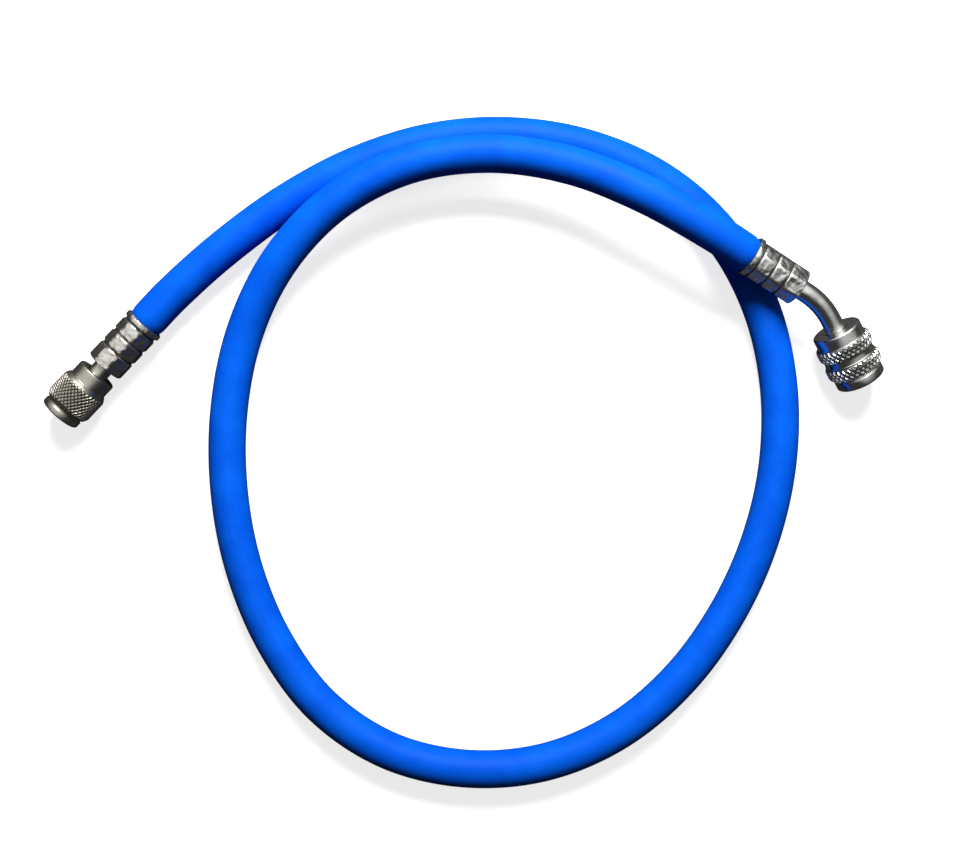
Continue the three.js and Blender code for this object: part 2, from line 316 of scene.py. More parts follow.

# %% [markdown]
# ### Nickel plate
#
# Both fittings are turned on a lathe and plated. The cutter leaves rings, which are noise that changes only
# along X. Dark specks of grime lie on the plate, and the pit attribute paints shade into the cuts: it
# darkens them to the same warm dark colour and roughens them, so edges and crests stay bright. The straight
# end is duller than the bent one, and the jaws have left shallow dents in both crimped sleeves.

# %% Plate the metal
# The dark colour of the grime specks, which also paints shade into the cuts.
GRIME_AND_SHADE = (0.045, 0.038, 0.032, 1)
BRASS_GRIME = (0.10, 0.07, 0.03, 1)


def plated_metal(name, bright, dull, polish, dents=0.02, grime_and_shade=GRIME_AND_SHADE):
    """Turned metal with lathe rings, clouds of tarnish, specks of grime, painted shade in its cuts and
    shallow dents.
    """
    material, shader, start = start_finish(name, Metallic=1.0)
    bench = read_attribute(start, "bench", "Vector")
    pit = read_attribute(start, "pit", "Fac")
    rings = noisy(stretched(bench, (1.0, 0.02, 0.02)), 7.0, detail=4, roughness=0.7)
    clouds = noisy(bench, 0.35, detail=5, roughness=0.6)
    specks = between(noisy(bench, 2.6, detail=4, roughness=0.7), 0.56, 0.70)
    tarnish = between(clouds, 0.38, 0.66) * 0.65 + between(rings, 0.45, 0.75) * 0.20
    clean = blended(tarnish, bright, dull)
    spotted = blended(specks * 0.45, clean, grime_and_shade)
    # Painted shade: where pit is high, the cuts are darkened to the dark grime colour.
    colour = blended(pit * 0.9, spotted, grime_and_shade)
    sheen = polish + tarnish * 0.18 + specks * 0.12 + pit * 0.30
    hollows = noisy(bench, 0.42, detail=1.2, roughness=0.4)
    fine = raised(rings + clouds * 0.5, 0.30, 0.02)
    sockets = {"Height": hollows, "Strength": 0.8, "Distance": dents * MM, "Normal": fine}
    surface = hollows.node("ShaderNodeBump", {}, sockets)
    drive(shader, Base_Color=colour, Roughness=sheen, Normal=surface)
    return material


TURNED = {
    "straight": plated_metal(
        "dull_plate", bright=(0.45, 0.44, 0.385, 1), dull=(0.23, 0.21, 0.168, 1), polish=0.28
    ),
    "angled": plated_metal(
        "bright_plate", bright=(0.76, 0.78, 0.765, 1), dull=(0.46, 0.47, 0.45, 1), polish=0.17
    ),
}
CRIMPED = {
    "straight": plated_metal(
        "dull_crimp", bright=(0.66, 0.66, 0.63, 1), dull=(0.30, 0.27, 0.24, 1), polish=0.20, dents=0.85
    ),
    "angled": plated_metal(
        "bright_crimp", bright=(0.84, 0.86, 0.85, 1), dull=(0.46, 0.46, 0.45, 1), polish=0.18, dents=0.55
    ),
}
BRASS = plated_metal(
    "turned_brass", bright=(0.83, 0.61, 0.27, 1), dull=(0.50, 0.35, 0.15, 1), polish=0.24, grime_and_shade=BRASS_GRIME
)
print("metals:", [plate.name for plate in [*TURNED.values(), *CRIMPED.values(), BRASS]])

# %% [markdown]
# ### Gasket rubber
#
# The seals are moulded black rubber: nearly matt, with a fine grain and a little grey bloom.

# %% Mix the gasket rubber
SEAL_BLACK = (0.012, 0.012, 0.013, 1)
SEAL_BLOOM = (0.05, 0.05, 0.052, 1)


def black_rubber():
    material, shader, start = start_finish("black_rubber", Specular_IOR_Level=0.35)
    bench = read_attribute(start, "bench", "Vector")
    bloom = between(noisy(bench, 0.8, detail=5), 0.45, 0.75)
    grain = noisy(bench, 9.0, detail=3)
    colour = blended(bloom, SEAL_BLACK, SEAL_BLOOM)
    drive(shader, Base_Color=colour, Roughness=0.5 + bloom * 0.25, Normal=raised(grain, 0.4, 0.02))
    return material


SEAL = black_rubber()
print("gasket rubber ready")

# %% [markdown]
# ## The bench
#
# Every piece is shaped in millimetres along +X, as on a bench, and moved into place at the end. Finishing a
# piece is the same each time: merge doubled points, turn the faces outwards, note each point's bench place,
# move the piece, and mark edges sharper than a limit so that smooth shading stops at them. A piece made of
# two meshes has the second one joined to the first on the bench.

# %% Finish a piece
MERGE = 0.003
SHARP = math.radians(38)
STILL = "hose_line"


def finish_piece(name, bm, place, material, body=STILL, stands_for=()):
    """Turn a bench mesh into a placed piece that rides on a body, and hide the parts it stands for."""
    bmesh.ops.remove_doubles(bm, verts=bm.verts, dist=MERGE)
    bmesh.ops.recalc_face_normals(bm, faces=bm.faces)
    bench = bm.verts.layers.float_vector.get("bench") or bm.verts.layers.float_vector.new("bench")
    for vert in bm.verts:
        if vert[bench].length == 0:
            vert[bench] = vert.co
    bmesh.ops.transform(bm, matrix=place @ Matrix.Scale(MM, 4), verts=bm.verts)
    loose = sum(edge.is_boundary or edge.is_wire for edge in bm.edges)
    mesh = bpy.data.meshes.new(name)
    bm.to_mesh(mesh)
    bm.free()
    mesh.polygons.foreach_set("use_smooth", [True] * len(mesh.polygons))
    mesh.set_sharp_from_angle(angle=SHARP)
    mesh.materials.append(material)
    piece = bpy.data.objects.new(name, mesh)
    bpy.context.scene.collection.objects.link(piece)
    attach(piece, body)
    if stands_for:
        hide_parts(*stands_for)
    print(f"{name}: {len(mesh.polygons)} faces, {loose} open edges")
    return piece


def add_mesh_of(bm, other):
    """Join one bench mesh to another."""
    mesh = bpy.data.meshes.new("joined")
    other.to_mesh(mesh)
    other.free()
    bm.from_mesh(mesh)
    bpy.data.meshes.remove(mesh)


print("pieces merge points closer than", MERGE, "mm")

# %% [markdown]
# A turned part is half an outline that is spun about X. The outline's corners are first eased with a small
# vertex bevel, because no real edge is perfectly sharp and an eased edge is what catches the light.


# %% Turn a part on the lathe
def draw_outline(bm, points, ease, closed):
    """Draw an outline of (along, radius) points and ease its corners."""
    verts = [bm.verts.new((along, 0, radius)) for along, radius in points]
    pairs = list(zip(verts, verts[1:]))
    if closed:
        pairs.append((verts[-1], verts[0]))
    for pair in pairs:
        bm.edges.new(pair)
    corners = verts if closed else verts[1:-1]
    bmesh.ops.bevel(
        bm, geom=corners, offset=ease, offset_type="OFFSET", segments=3, profile=0.5,
        affect="VERTICES", material=-1, clamp_overlap=True,
    )


def spin_outline(bm, sides):
    """Spin every edge that has no face about the X axis, all the way round."""
    wire = [edge for edge in bm.edges if edge.is_wire]
    points = {vert for edge in wire for vert in edge.verts}
    bmesh.ops.spin(
        bm, geom=list(points) + wire, cent=(0, 0, 0), axis=(1, 0, 0), angle=2 * math.pi,
        steps=sides, use_merge=True,
    )


def turn_part(bm, points, sides, ease=0.12, closed=False):
    draw_outline(bm, points, ease, closed)
    spin_outline(bm, sides)


print("lathe ready")

# %% [markdown]
# ## Where the fittings lie
#
# The straight fitting lies level and points along -X. The bent one leaves the hose on top of the lower
# turn, and its nut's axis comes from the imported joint. Those two directions span the plane of the bend.

# %% Place the two fittings
GAP = 0.3
STRAIGHT_MOUTH = Vector((-58.5, 87.5, 7.8))
ANGLED_MOUTH = Vector((87.9, -38.3, 19.2))
ANGLED_HEADING = math.radians(-78)
ANGLED_PITCH = math.radians(9)
BEND_ANGLE = math.radians(27.5)
BEND_RADIUS = 25.0
STUB_LENGTH = 3.5
FERRULE_LENGTH = 19.0
NECK_EXPOSED = 3.3
JOINTS = {joint["name"]: joint for joint in frame["record"]["behaviour"]["joints"]}


def frame_at(origin, along, up):
    """A frame in metres whose X is along and whose Z leans to up; its origin is in millimetres."""
    along = along.normalized()
    up = (up - along * up.dot(along)).normalized()
    across = up.cross(along)
    return Matrix.Translation(origin * MM) @ Matrix((along, across, up)).transposed().to_4x4()


angled_along = Vector((
    math.cos(ANGLED_HEADING) * math.cos(ANGLED_PITCH),
    math.sin(ANGLED_HEADING) * math.cos(ANGLED_PITCH),
    -math.sin(ANGLED_PITCH),
))
angled_nut_along = Vector(JOINTS["angled_nut_spin"]["axis"])
STRAIGHT_END = frame_at(STRAIGHT_MOUTH, Vector((-1, 0, 0)), Vector((0, 0, 1)))
ANGLED_END = frame_at(ANGLED_MOUTH, angled_along, -angled_nut_along)

bend_tangent = BEND_RADIUS * math.tan(BEND_ANGLE / 2)
BEND_START = FERRULE_LENGTH + STUB_LENGTH
BENT_TURN = Matrix.Rotation(BEND_ANGLE, 4, "Y")
bend_corner = Vector((BEND_START + bend_tangent, 0, 0))
nut_back = bend_corner + BENT_TURN @ Vector((bend_tangent + STUB_LENGTH, 0, 0))
ON_STRAIGHT_NECK = Matrix.Translation(((FERRULE_LENGTH + NECK_EXPOSED) * MM, 0, 0))
STRAIGHT_HEAD = STRAIGHT_END @ ON_STRAIGHT_NECK
ANGLED_HEAD = ANGLED_END @ Matrix.Translation(nut_back * MM) @ BENT_TURN
for head, joint in ((STRAIGHT_HEAD, "straight_nut_spin"), (ANGLED_HEAD, "angled_nut_spin")):
    away = (head.translation - Vector(JOINTS[joint]["pos_m"])).length / MM
    print(joint, "is", round(away, 4), "mm from its packed place")

# %% [markdown]
# ## The hose
#
# A hose is a tube along a curve. A curve object with a round bevel would do for the free stretch, but
# this one is squeezed at both ends by its ferrules and has a bore, so it is a grid that is rolled up: one
# side of the grid runs out along the outside and back along the bore, and the other goes round. The curve
# is a centripetal Catmull-Rom spline through listed points, in millimetres.

# %% Lay the hose's route
HOSE_RADIUS = 6.0
HOSE_BORE = 2.5
STRAIGHT_RUN = 12.0
END_WALL = 1.2
STOP_FLANGE = 0.5
HOSE_END = FERRULE_LENGTH - END_WALL - GAP - STOP_FLANGE - GAP
FREE_ROUTE = [
    (-24.6, 85.8, 7.3), (0.8, 81.4, 6.3), (25.3, 73.2, 6.15), (47.8, 60.5, 6.05), (66.7, 43, 6.05),
    (81, 21.5, 6.05), (89.2, -2.9, 6.05), (89.6, -28.6, 6.05), (81.6, -53.1, 6.05), (67.3, -74.5, 6.05),
    (48.3, -92, 6.05), (26, -105, 6.05), (1.6, -113.3, 6.05), (-24, -116.6, 6.05), (-49.6, -113.7, 6.05),
    (-73.2, -103.5, 6.05), (-92.4, -86.3, 6.05), (-105.3, -64.1, 6.05), (-109.6, -38.7, 6.05),
    (-105.1, -13.4, 6.05), (-94.6, 10.2, 6.05), (-79.5, 31.1, 6.1), (-60.7, 48.8, 6.4), (-38.7, 62.1, 8.1),
    (-14.3, 68.9, 12), (11.2, 68.3, 15), (35.3, 59.6, 15.9), (55.4, 43.5, 16.2), (70, 22.3, 18.1),
    (79.1, -1.5, 21),
]


def on_axis(end, along):
    """A point on a fitting's axis, in millimetres."""
    return (end @ Vector((along * MM, 0, 0))) / MM


route_points = [on_axis(STRAIGHT_END, along) for along in (HOSE_END, 0, -STRAIGHT_RUN)]
route_points += [Vector(point) for point in FREE_ROUTE]
route_points += [on_axis(ANGLED_END, along) for along in (-STRAIGHT_RUN, 0, HOSE_END)]
print("route:", len(route_points), "points")

# %% [markdown]
# The curve's slope at a point leans on both neighbours and on how far off they are. The curve is then
# walked with even steps, so that the rings of the hose lie equally close in every bend.


# %% Draw the centreline
def spline(points, steps):
    """A centripetal Catmull-Rom curve through the points, with a number of steps between each two."""
    padded = [2 * points[0] - points[1], *points, 2 * points[-1] - points[-2]]
    curve = []
    for before, start, end, after in zip(padded, padded[1:], padded[2:], padded[3:]):
        spans = ((before, start), (start, end), (end, after))
        first, middle, last = [math.sqrt((b - a).length) for a, b in spans]
        slope = (end - start) / middle
        leave = ((start - before) / first - (end - before) / (first + middle) + slope) * middle
        arrive = (slope - (after - start) / (middle + last) + (after - end) / last) * middle
        for step in range(steps):
            t = step / steps
            square = 3 * (end - start) - 2 * leave - arrive
            cube = 2 * (start - end) + leave + arrive
            curve.append(start + leave * t + square * t ** 2 + cube * t ** 3)
    return curve + [points[-1]]


def even_spaced(curve, spacing):
    """Points along a curve that lie about one spacing apart, and the curve's length."""
    reach = [0.0]
    for a, b in zip(curve, curve[1:]):
        reach.append(reach[-1] + (b - a).length)
    count = round(reach[-1] / spacing)
    spaced = []
    index = 0
    for step in range(count + 1):
        target = reach[-1] * step / count
        while index < len(reach) - 2 and reach[index + 1] < target:
            index += 1
        share = (target - reach[index]) / (reach[index + 1] - reach[index])
        spaced.append(curve[index].lerp(curve[index + 1], share))
    return spaced, reach[-1]


RING_SPACING = 0.8
SPLINE_STEPS = 60
centreline, hose_length = even_spaced(spline(route_points, SPLINE_STEPS), RING_SPACING)
print("hose:", round(hose_length, 1), "mm on", len(centreline), "rings")

# %% [markdown]
# The rings need a frame that doesn't twist. Each ring's frame is the last one's, turned only as much as the
# path turns. The radius follows how far a ring is from the hose's end, because the ferrule squeezes it, and
# a very slow swell of a few hundredths of a millimetre keeps the long highlight from being ruler-straight.

# %% Roll up the hose
HOSE_SIDES = 48
BORE_STEP = 8
SWELL = 0.035
SWELL_SCALE = 0.09
MOUTH_DEPTH = 1.8
SQUEEZED_RADIUS = 4.6
MOUTH_RADIUS = 5.6
FLARE_LENGTH = 2.0
SQUEEZES = [
    (HOSE_END - MOUTH_DEPTH, SQUEEZED_RADIUS),
    (HOSE_END, MOUTH_RADIUS),
    (HOSE_END + FLARE_LENGTH, HOSE_RADIUS),
]


def squeezed_radius(from_end):
    """The hose's radius at a distance from its end, inside and outside the ferrule."""
    if from_end <= SQUEEZES[0][0]:
        return SQUEEZES[0][1]
    for (start, first), (end, last) in zip(SQUEEZES, SQUEEZES[1:]):
        if from_end <= end:
            return first + (last - first) * (from_end - start) / (end - start)
    return HOSE_RADIUS


def frames_along(curve):
    """An untwisted frame at every point of a curve."""
    ways = [(b - a).normalized() for a, b in zip(curve, curve[1:])]
    ways = [ways[0]] + [(a + b).normalized() for a, b in zip(ways, ways[1:])] + [ways[-1]]
    side = ways[0].orthogonal().normalized()
    frames = []
    for before, way in zip([ways[0]] + ways, ways):
        side = before.rotation_difference(way) @ side
        side = (side - way * side.dot(way)).normalized()
        frames.append((side, way.cross(side)))
    return frames


def hose_stations():
    """The ring number and radius of each row of the grid: out along the outside, back along the bore."""
    last = len(centreline) - 1
    spacing = hose_length / last
    outside = [(ring, squeezed_radius(min(ring, last - ring) * spacing)) for ring in range(last + 1)]
    inside = [(ring, HOSE_BORE) for ring in [*range(last, 0, -BORE_STEP), 0]]
    return outside + inside + outside[:1], spacing


def roll_hose():
    """Roll a flat grid into the hose's outside, its two end faces and its bore."""
    stations, spacing = hose_stations()
    frames = frames_along(centreline)
    rows = len(stations) - 1
    bm = bmesh.new()
    bench = bm.verts.layers.float_vector.new("bench")
    bmesh.ops.create_grid(bm, x_segments=rows, y_segments=HOSE_SIDES, size=0.5)
    for vert in bm.verts:
        ring, radius = stations[round((vert.co.x + 0.5) * rows)]
        angle = 2 * math.pi * (vert.co.y + 0.5)
        if radius == HOSE_RADIUS:
            radius -= SWELL * (0.5 + 0.5 * noise.noise(centreline[ring] * SWELL_SCALE))
        side, rise = frames[ring]
        vert[bench] = (ring * spacing, radius * math.cos(angle), radius * math.sin(angle))
        vert.co = centreline[ring] + side * vert[bench].y + rise * vert[bench].z
    return bm


hose = finish_piece(
    "hose_tube", roll_hose(), Matrix.Identity(4), RUBBER, stands_for=["hose"]
)

# %% [markdown]
# ## The ferrules
#
# A ferrule is a thin sleeve slipped over the hose and crimped by eight jaws. Turning gives the sleeve with
# its lip and three grooves. The crimp is then a move of points: every point of a band that lies beyond a
# jaw's flat is pressed back to it, which leaves eight flats with a narrow round ridge between each two.

# %% Turn and crimp the ferrules
FERRULE_SIDES = 192
LIP_RADIUS = 6.55
LIP_LENGTH = 1.7
CRIMP_RADIUS = 6.3
CRIMP_GROOVE = 5.75
CRIMP_GROOVE_WIDTH = 0.6
CRIMP_RAMP = 0.45
CRIMP_PITCH = 5.15
CRIMP_FLAT = 5.95
CRIMP_COUNT = 3
JAWS = 8
FERRULE_BORE = 4.9
FERRULE_MOUTH = 5.9
END_HOLE = 3.0
EDGE = 0.4
UNSHADED_DEPTH = 0.1
INSIDE_SHADE = 0.8


def ferrule_outline():
    """Round the sleeve: its lip, its grooves and bands, its end wall and its inside."""
    outline = [(0, LIP_RADIUS - EDGE), (EDGE, LIP_RADIUS), (LIP_LENGTH, LIP_RADIUS)]
    for band in range(CRIMP_COUNT):
        groove = LIP_LENGTH + band * CRIMP_PITCH + CRIMP_RAMP
        outline += [(groove, CRIMP_GROOVE), (groove + CRIMP_GROOVE_WIDTH, CRIMP_GROOVE)]
        band_start = groove + CRIMP_GROOVE_WIDTH + CRIMP_RAMP
        last = band == CRIMP_COUNT - 1
        band_end = FERRULE_LENGTH - EDGE if last else LIP_LENGTH + (band + 1) * CRIMP_PITCH
        outline += [(band_start, CRIMP_RADIUS), (band_end, CRIMP_RADIUS)]
    outline += [
        (FERRULE_LENGTH, CRIMP_RADIUS - EDGE), (FERRULE_LENGTH, END_HOLE),
        (FERRULE_LENGTH - END_WALL, END_HOLE), (FERRULE_LENGTH - END_WALL, FERRULE_BORE),
        (MOUTH_DEPTH, FERRULE_BORE), (0, FERRULE_MOUTH),
    ]
    return outline


def press_flats(bm):
    """Press the eight flats; pit paints shade on outside points by how deep they lie, and on the inside."""
    pit = bm.verts.layers.float.new("pit")
    half = math.pi / JAWS
    clean = CRIMP_FLAT - UNSHADED_DEPTH
    for vert in bm.verts:
        radius = math.hypot(vert.co.y, vert.co.z)
        if vert.co.x > LIP_LENGTH and radius > FERRULE_BORE + GAP:
            angle = math.atan2(vert.co.y, vert.co.z) % (2 * half)
            flat = CRIMP_FLAT / math.cos(min(angle, 2 * half - angle))
            pressed = min(radius, flat)
            vert.co.y *= pressed / radius
            vert.co.z *= pressed / radius
            # Painted shade: the further a point lies below the flats, the darker; the sleeve's inside is
            # darkened too.
            vert[pit] = max(0.0, min(1.0, (clean - radius) / (clean - CRIMP_GROOVE)))
        elif radius < LIP_RADIUS - EDGE:
            vert[pit] = INSIDE_SHADE


def make_ferrule(end_name, end):
    bm = bmesh.new()
    turn_part(bm, ferrule_outline(), FERRULE_SIDES, ease=0.15, closed=True)
    press_flats(bm)
    return finish_piece(
        f"ferrule_{end_name}_crimped", bm, end, CRIMPED[end_name], stands_for=[f"ferrule_{end_name}"]
    )


ferrules = [make_ferrule("straight", STRAIGHT_END), make_ferrule("angled", ANGLED_END)]

# %% [markdown]
# ## The stems
#
# A stem is a tube with barbs that hold the hose, a flange that stops it, and a wide head inside the nut.
# Both stems share the outline of their tail and of their head.

# %% Draw the stems' outlines
STEM_SIDES = 64
STEM_BORE = 1.3
NECK = 3.25
STEM_GROOVE = 2.7
STOP_RADIUS = 3.9
BARB_RADIUS = 2.2
BARB_ROOT = 1.8
BARB_LENGTH = 3.0
BARBS = 4
HEAD_RADIUS = 4.7
HEAD_LENGTH = 2.5
NUT_BACK_WALL = 3.5
HEAD_START = NUT_BACK_WALL + GAP
STOP_START = HOSE_END + GAP
NECK_START = FERRULE_LENGTH + GAP
BEND_STEPS = 32


def tail_outline():
    """From the tip of the stem's bore out over its barbs to its groove in the ferrule's end."""
    tip = STOP_START - BARBS * BARB_LENGTH
    outline = [(tip, STEM_BORE)]
    for barb in range(BARBS):
        start = tip + barb * BARB_LENGTH
        outline += [(start, BARB_ROOT), (start + BARB_LENGTH - GAP, BARB_RADIUS)]
    outline += [
        (STOP_START, BARB_RADIUS), (STOP_START, STOP_RADIUS), (STOP_START + STOP_FLANGE, STOP_RADIUS),
        (STOP_START + STOP_FLANGE, STEM_GROOVE), (NECK_START, STEM_GROOVE), (NECK_START, NECK),
    ]
    return outline


def head_outline(start):
    """The head, from the neck to the bore."""
    return [
        (start, NECK), (start, HEAD_RADIUS),
        (start + HEAD_LENGTH, HEAD_RADIUS), (start + HEAD_LENGTH, STEM_BORE),
    ]


print("tail outline:", len(tail_outline()), "points")

# %% [markdown]
# The straight stem is turned in one go. The bent one is turned in two halves. Between them its rims are
# spun about the bend's centre, which is how a pipe bender forms the tube.


# %% Turn the stems
def make_straight_stem():
    bm = bmesh.new()
    head = FERRULE_LENGTH + NECK_EXPOSED + HEAD_START
    turn_part(bm, tail_outline() + head_outline(head), STEM_SIDES, closed=True)
    return finish_piece(
        "stem_straight_turned", bm, STRAIGHT_END, TURNED["straight"], stands_for=["stem_straight"]
    )


def make_bent_stem():
    bm = bmesh.new()
    turn_part(bm, [(BEND_START, STEM_BORE), *tail_outline(), (BEND_START, NECK)], STEM_SIDES)
    rims = [edge for edge in bm.edges if edge.is_boundary]
    bmesh.ops.spin(
        bm, geom=rims, cent=(BEND_START, 0, -BEND_RADIUS), axis=(0, 1, 0), angle=BEND_ANGLE,
        steps=BEND_STEPS,
    )
    head = bmesh.new()
    outline = [(-STUB_LENGTH, NECK), *head_outline(HEAD_START), (-STUB_LENGTH, STEM_BORE)]
    turn_part(head, outline, STEM_SIDES)
    bmesh.ops.transform(head, matrix=Matrix.Translation(nut_back) @ BENT_TURN, verts=head.verts)
    add_mesh_of(bm, head)
    return finish_piece("stem_angled_bent", bm, ANGLED_END, TURNED["angled"], stands_for=["stem_angled"])


stems = [make_straight_stem(), make_bent_stem()]

# %% [markdown]
# ## The knurl
#
# Knurling rolls two sets of slanting grooves into the nut, which leave rows of raised diamonds. A grid of
# squares becomes a net of diamonds when every square is poked in its middle and the old edges are
# dissolved. The grid is first rolled round the nut, so the net closes on itself. Each diamond is then inset
# and raised: the net stays behind as the bottoms of the grooves.

# %% Cut a band of diamonds
TOP_EASE = 0.07
FLANK_SHADE = 0.15
RIM_CUTS = 3


def set_radius(verts, radius, band, rim, slope):
    """Move points to a radius, no further out than the chamfer at the band's two rims."""
    start, end = band
    for vert in verts:
        limit = rim + slope * max(0.0, min(vert.co.x - start, end - vert.co.x))
        scale = min(radius, limit) / math.hypot(vert.co.y, vert.co.z)
        vert.co.y *= scale
        vert.co.z *= scale


def knurl(bm, band, rim, root, crest, slope, around, rows, groove, groove_shade):
    """Raise a band of diamonds between two places along X, on a mesh that is still empty."""
    pit = bm.verts.layers.float.new("pit")
    bmesh.ops.create_grid(bm, x_segments=around, y_segments=rows, size=0.5)
    for vert in bm.verts:
        angle = 2 * math.pi * (vert.co.x + 0.5)
        along = band[0] + (band[1] - band[0]) * (vert.co.y + 0.5)
        vert.co = (along, root * math.cos(angle), root * math.sin(angle))
    bmesh.ops.remove_doubles(bm, verts=bm.verts, dist=MERGE)
    squares = [edge for edge in bm.edges if not edge.is_boundary]
    bmesh.ops.poke(bm, faces=bm.faces)
    bmesh.ops.dissolve_edges(bm, edges=squares)
    bmesh.ops.bisect_edges(bm, edges=[edge for edge in bm.edges if edge.is_boundary], cuts=RIM_CUTS)
    set_radius(bm.verts, root, band, rim, slope)
    # Painted shade: the groove bottoms take the darkest pit, the flanks a little and the tops none.
    for vert in bm.verts:
        vert[pit] = groove_shade
    diamonds = bm.faces[:]
    insets = ((groove, crest - TOP_EASE / 2, FLANK_SHADE), (TOP_EASE, crest, 0.0))
    for thickness, radius, shade in insets:
        bmesh.ops.inset_individual(bm, faces=diamonds, thickness=thickness, use_even_offset=True)
        tops = {vert for face in diamonds for vert in face.verts}
        set_radius(tops, radius, band, rim, slope)
        for vert in tops:
            vert[pit] = shade


print("knurling tool ready")

# %% [markdown]
# ## The nuts
#
# The nut is the knurled band with the rest of the nut turned onto it: the spun outline starts at one rim of
# the band, goes round through the socket, and ends at the other rim. The turned part has
# four sides for every diamond, as has the band's rim, so the points of both fall together and merge.

# %% Share what both nuts have
NECK_HOLE = NECK + GAP
CHAMBER = 5.0
THREAD_ROOT = 5.55
THREAD_START = 9.6
MOUTH = 5.75
SOCKET_CHAMFER = 0.5
BACK_CHAMFER = 0.3


def nut_outline(length, knurled, rim, relief, relief_radius, ring_start, ring, collar_end, collar):
    """Round a nut: from the knurl's front rim over the ring and through the socket to its rear rim."""
    knurl_start, knurl_end = knurled
    relief_start, relief_end = relief
    return [
        (knurl_end, rim), (relief_start, relief_radius), (relief_end, relief_radius), (ring_start, ring),
        (length - EDGE, ring), (length, ring - EDGE), (length, MOUTH),
        (length - SOCKET_CHAMFER, THREAD_ROOT), (THREAD_START, THREAD_ROOT),
        (THREAD_START - SOCKET_CHAMFER, CHAMBER), (NUT_BACK_WALL, CHAMBER),
        (NUT_BACK_WALL, NECK_HOLE), (BACK_CHAMFER, NECK_HOLE), (0, NECK_HOLE + BACK_CHAMFER),
        (0, collar - EDGE), (EDGE, collar), (collar_end, collar), (knurl_start, rim),
    ]


print("neck hole:", NECK_HOLE, "mm, thread root:", THREAD_ROOT, "mm")

# %% Make the straight nut
STRAIGHT_DIAMONDS = 34
STRAIGHT_ROWS = 6
STRAIGHT_NUT_LENGTH = 18.0
STRAIGHT_NUT = 7.8
STRAIGHT_ROOT = 7.42
STRAIGHT_BAND = (5.0, 14.8)
STRAIGHT_RIM = 7.0
STRAIGHT_RELIEF = (15.2, 15.7)
STRAIGHT_RELIEF_RADIUS = 6.35
STRAIGHT_RING_START = 15.95
STRAIGHT_RING = 6.7
STRAIGHT_COLLAR_END = 4.6
STRAIGHT_COLLAR = 6.5


def make_straight_nut():
    bm = bmesh.new()
    knurl(
        bm, STRAIGHT_BAND, STRAIGHT_RIM, root=STRAIGHT_ROOT, crest=STRAIGHT_NUT, slope=0.6,
        around=STRAIGHT_DIAMONDS, rows=STRAIGHT_ROWS, groove=0.18, groove_shade=0.75,
    )
    outline = nut_outline(
        STRAIGHT_NUT_LENGTH, STRAIGHT_BAND, STRAIGHT_RIM, STRAIGHT_RELIEF, STRAIGHT_RELIEF_RADIUS,
        STRAIGHT_RING_START, STRAIGHT_RING, STRAIGHT_COLLAR_END, STRAIGHT_COLLAR,
    )
    turn_part(bm, outline, STRAIGHT_DIAMONDS * (RIM_CUTS + 1), ease=0.15)
    return finish_piece(
        "nut_straight_knurled", bm, STRAIGHT_HEAD, TURNED["straight"], body="straight_nut",
        stands_for=["nut_straight"],
    )


make_straight_nut()

# %% [markdown]
# The bent end's nut is larger and has two knurled bands with a smooth waist between them. Both bands are
# rows of the same net, so each is made in a mesh of its own and the meshes are joined before turning.

# %% Make the angled nut
ANGLED_DIAMONDS = 30
ANGLED_ROWS = 2
ANGLED_NUT_LENGTH = 19.0
ANGLED_NUT = 8.9
ANGLED_ROOT = 8.3
ANGLED_BANDS = ((4.1, 8.3), (10.9, 15.1))
ANGLED_RIM = 8.15
ANGLED_WAIST = (8.6, 10.2)
ANGLED_WAIST_RADIUS = 8.1
ANGLED_STEP = (10.5, 8.3)
ANGLED_RELIEF = (15.4, 15.8)
ANGLED_RELIEF_RADIUS = 7.5
ANGLED_RING_START = 16.1
ANGLED_RING = 7.9
ANGLED_COLLAR_END = 3.9
ANGLED_COLLAR = 7.8


def make_angled_nut():
    (first_start, first_end), (second_start, second_end) = ANGLED_BANDS
    bm = bmesh.new()
    for band in ANGLED_BANDS:
        ring = bmesh.new()
        knurl(
            ring, band, ANGLED_RIM, root=ANGLED_ROOT, crest=ANGLED_NUT, slope=1.1,
            around=ANGLED_DIAMONDS, rows=ANGLED_ROWS, groove=0.30, groove_shade=1.0,
        )
        add_mesh_of(bm, ring)
    sides = ANGLED_DIAMONDS * (RIM_CUTS + 1)
    waist = [(along, ANGLED_WAIST_RADIUS) for along in ANGLED_WAIST]
    turn_part(bm, [(first_end, ANGLED_RIM), *waist, ANGLED_STEP, (second_start, ANGLED_RIM)], sides)
    outline = nut_outline(
        ANGLED_NUT_LENGTH, (first_start, second_end), ANGLED_RIM, ANGLED_RELIEF, ANGLED_RELIEF_RADIUS,
        ANGLED_RING_START, ANGLED_RING, ANGLED_COLLAR_END, ANGLED_COLLAR,
    )
    turn_part(bm, outline, sides, ease=0.15)
    return finish_piece(
        "nut_angled_knurled", bm, ANGLED_HEAD, TURNED["angled"], body="angled_nut",
        stands_for=["nut_angled"],
    )


angled_nut = make_angled_nut()

# %% [markdown]
# ## The threads
#
# The socket has a seven-sixteenths inch thread with 20 turns to the inch, so a turn moves 1.27 mm. A spin
# that also moves along its axis makes a helix: a small blunt tooth, with its foot sunk in the wall, is spun
# for several turns. Its two ends are filled, so the ridge is closed.

# %% Cut the threads
THREAD_PITCH = 1.27
THREAD_SIDES = 72
THREAD_CREST = 5.0
THREAD_SINK = 0.12
HALF_FOOT = THREAD_PITCH * 0.44
HALF_FLAT = 0.08
THREAD_LEAD = 0.2
THREAD_RUNOUT = 1.0


def tooth_outline():
    """One tooth: a wide foot in the socket's wall and a narrow flat at the crest."""
    middle = THREAD_START + HALF_FOOT + THREAD_LEAD
    foot = THREAD_ROOT + THREAD_SINK
    return [
        (middle - HALF_FOOT, foot), (middle + HALF_FOOT, foot),
        (middle + HALF_FLAT, THREAD_CREST), (middle - HALF_FLAT, THREAD_CREST),
    ]


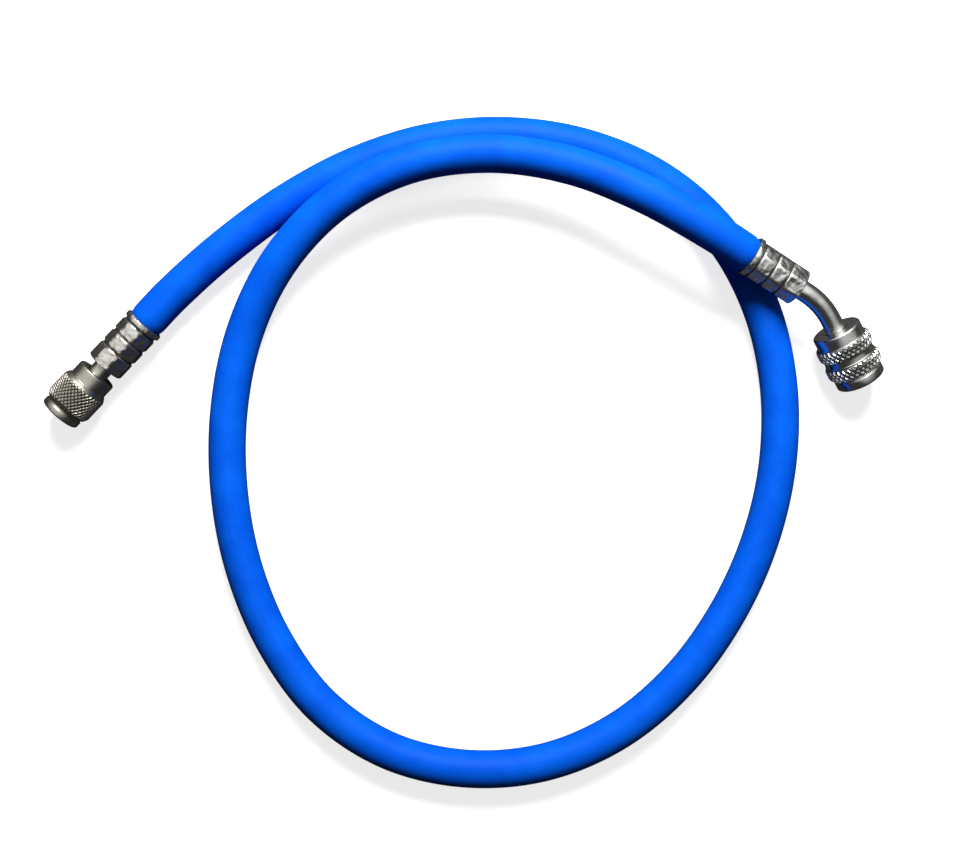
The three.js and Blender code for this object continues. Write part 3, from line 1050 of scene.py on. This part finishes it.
def make_thread(end_name, head, length):
    turns = math.floor((length - THREAD_RUNOUT - THREAD_START) / THREAD_PITCH)
    bm = bmesh.new()
    tooth = bm.faces.new([bm.verts.new((along, 0, radius)) for along, radius in tooth_outline()])
    bmesh.ops.spin(
        bm, geom=[tooth], cent=(0, 0, 0), axis=(1, 0, 0), angle=2 * math.pi * turns,
        steps=turns * THREAD_SIDES, dvec=(THREAD_PITCH / THREAD_SIDES, 0, 0),
    )
    bmesh.ops.holes_fill(bm, edges=[edge for edge in bm.edges if edge.is_boundary], sides=4)
    return finish_piece(f"nut_{end_name}_thread", bm, head, TURNED[end_name], body=f"{end_name}_nut")


threads = [
    make_thread("straight", STRAIGHT_HEAD, STRAIGHT_NUT_LENGTH),
    make_thread("angled", ANGLED_HEAD, ANGLED_NUT_LENGTH),
]

# %% [markdown]
# ## The seals and the core depressor
#
# Each socket ends in a black rubber ring with rounded edges. In the bent end a small brass crossbar sits
# inside the ring, with a pin that pushes a valve open. The bar starts as a cube that is scaled, and the pin
# is turned with a domed tip.

# %% Make the seals
SEAL_RADIUS = CHAMBER - GAP
SEAL_BORE = 2.3
SEAL_LENGTH = 2.4
SEAL_START = HEAD_START + HEAD_LENGTH + GAP
SEAL_SIDES = 64


def make_seal(end_name, head):
    end = SEAL_START + SEAL_LENGTH
    bm = bmesh.new()
    outline = [(SEAL_START, SEAL_RADIUS), (end, SEAL_RADIUS), (end, SEAL_BORE), (SEAL_START, SEAL_BORE)]
    turn_part(bm, outline, SEAL_SIDES, ease=0.45, closed=True)
    return finish_piece(
        f"gasket_{end_name}_moulded", bm, head, SEAL, stands_for=[f"gasket_{end_name}"],
    )


seals = [make_seal("straight", STRAIGHT_HEAD), make_seal("angled", ANGLED_HEAD)]

# %% Make the core depressor
BAR_WIDTH = 1.5
BAR_THICKNESS = 0.8
BAR_EASE = 0.12
PIN_RADIUS = 0.85
PIN_DOME = 0.5
PIN_SHOULDER = 0.2
PIN_SHOULDER_RADIUS = 0.68
PIN_SIDES = 40


def make_depressor():
    reach = SEAL_BORE - GAP
    bar_length = 2 * math.sqrt(reach ** 2 - (BAR_WIDTH / 2) ** 2)
    middle = SEAL_START + BAR_THICKNESS / 2
    bm = bmesh.new()
    shape = Matrix.Translation((middle, 0, 0)) @ Matrix.Diagonal((BAR_THICKNESS, bar_length, BAR_WIDTH, 1))
    bmesh.ops.create_cube(bm, size=1, matrix=shape)
    bmesh.ops.bevel(
        bm, geom=bm.edges[:], offset=BAR_EASE, offset_type="OFFSET", segments=3, profile=0.5,
        affect="EDGES", material=-1,
    )
    tip = SEAL_START + SEAL_LENGTH
    pin = [
        (middle, 0), (middle, PIN_RADIUS), (tip - PIN_DOME, PIN_RADIUS),
        (tip - PIN_SHOULDER, PIN_SHOULDER_RADIUS), (tip, 0),
    ]
    turn_part(bm, pin, PIN_SIDES)
    return finish_piece(
        "core_depressor_brass", bm, ANGLED_HEAD, BRASS, stands_for=["core_depressor"]
    )


depressor = make_depressor()

# %% [markdown]
# ## The hose as a cord
#
# The hose is a free length of something flexible. Every tenth ring of its centreline is kept as a path in
# metres, from the straight fitting to the bent one, and its length is worked out in metres.

RINGS_TO_A_PATH_POINT = 10
cord_path = [tuple(point * MM) for point in centreline[::RINGS_TO_A_PATH_POINT]]
hose_length * MM
print("cord declared,", round(hose_length), "mm long")
